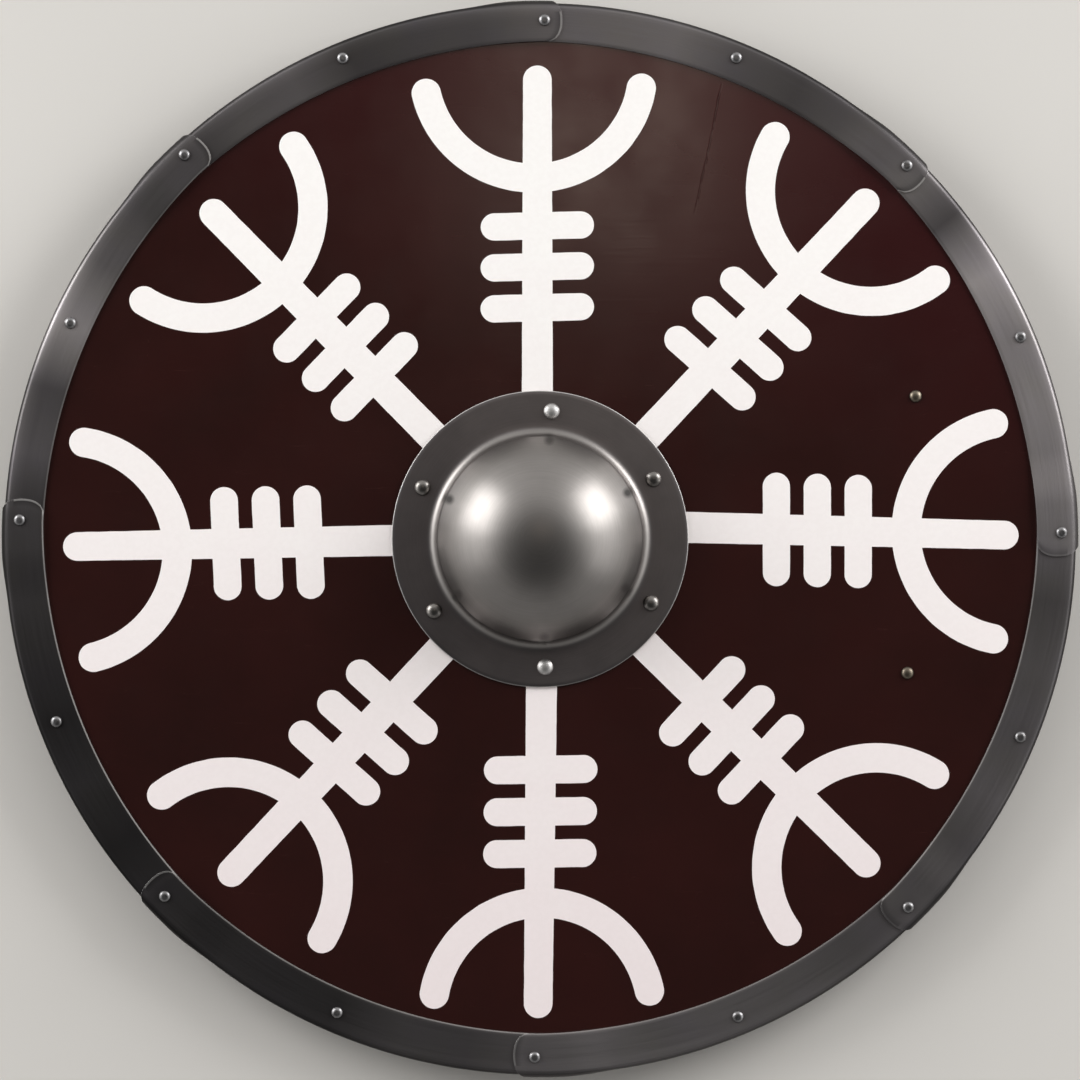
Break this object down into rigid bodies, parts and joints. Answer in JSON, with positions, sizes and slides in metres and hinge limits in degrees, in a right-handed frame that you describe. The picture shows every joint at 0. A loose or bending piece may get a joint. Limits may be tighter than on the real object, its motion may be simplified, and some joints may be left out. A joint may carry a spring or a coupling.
{
  "type": "wooden round shield",
  "caption": "Round wooden shield with a lapped sheet-steel rim, a domed steel boss over the hand hole, rivets, a steel grip and a leather forearm strap behind.",
  "frame": {"origin": "centre of the shield in plan, at the height of its lowest point, the middle of the forearm strap", "axes": "the shield lies on its back: +Z is the way its face and boss look, +Y is the top of the face, and +X is towards the side with the forearm strap"},
  "size_m": [0.6099, 0.61, 0.0763],
  "materials": {
    "painted_wood": "dark maroon-brown gloss paint with a white painted eight-armed stave on the face, plain stained wood behind",
    "rim_steel": "satin sheet steel, hand-worked and slightly dull",
    "boss_steel": "polished raised sheet steel, duller on the flange",
    "bright_rivet_steel": "polished domed heads",
    "dark_rivet_steel": "dark oiled steel heads",
    "grip_steel": "dull forged bar",
    "strap_leather": "oiled harness leather"
  },
  "bodies": {
    "root": {"board": "painted_wood", "rim_strip_1": "rim_steel", "rim_strip_2": "rim_steel", "rim_strip_3": "rim_steel", "rim_strip_4": "rim_steel", "rim_strip_5": "rim_steel", "rim_strip_6": "rim_steel", "rim_strip_7": "rim_steel", "rim_strip_8": "rim_steel", "rim_rivet_01": "rim_steel", "rim_rivet_02": "rim_steel", "rim_rivet_03": "rim_steel", "rim_rivet_04": "rim_steel", "rim_rivet_05": "rim_steel", "rim_rivet_06": "rim_steel", "rim_rivet_07": "rim_steel", "rim_rivet_08": "rim_steel", "rim_rivet_09": "rim_steel", "rim_rivet_10": "rim_steel", "rim_rivet_11": "rim_steel", "rim_rivet_12": "rim_steel", "rim_rivet_13": "rim_steel", "rim_rivet_14": "rim_steel", "rim_rivet_15": "rim_steel", "rim_rivet_16": "rim_steel", "boss": "boss_steel", "boss_rivet_1": "bright_rivet_steel", "boss_rivet_2": "dark_rivet_steel", "boss_rivet_3": "dark_rivet_steel", "boss_rivet_4": "bright_rivet_steel", "boss_rivet_5": "dark_rivet_steel", "boss_rivet_6": "dark_rivet_steel", "strap_rivet_1": "dark_rivet_steel", "strap_rivet_2": "dark_rivet_steel", "grip": "grip_steel", "forearm_strap": "strap_leather"}
  },
  "joints": []
}
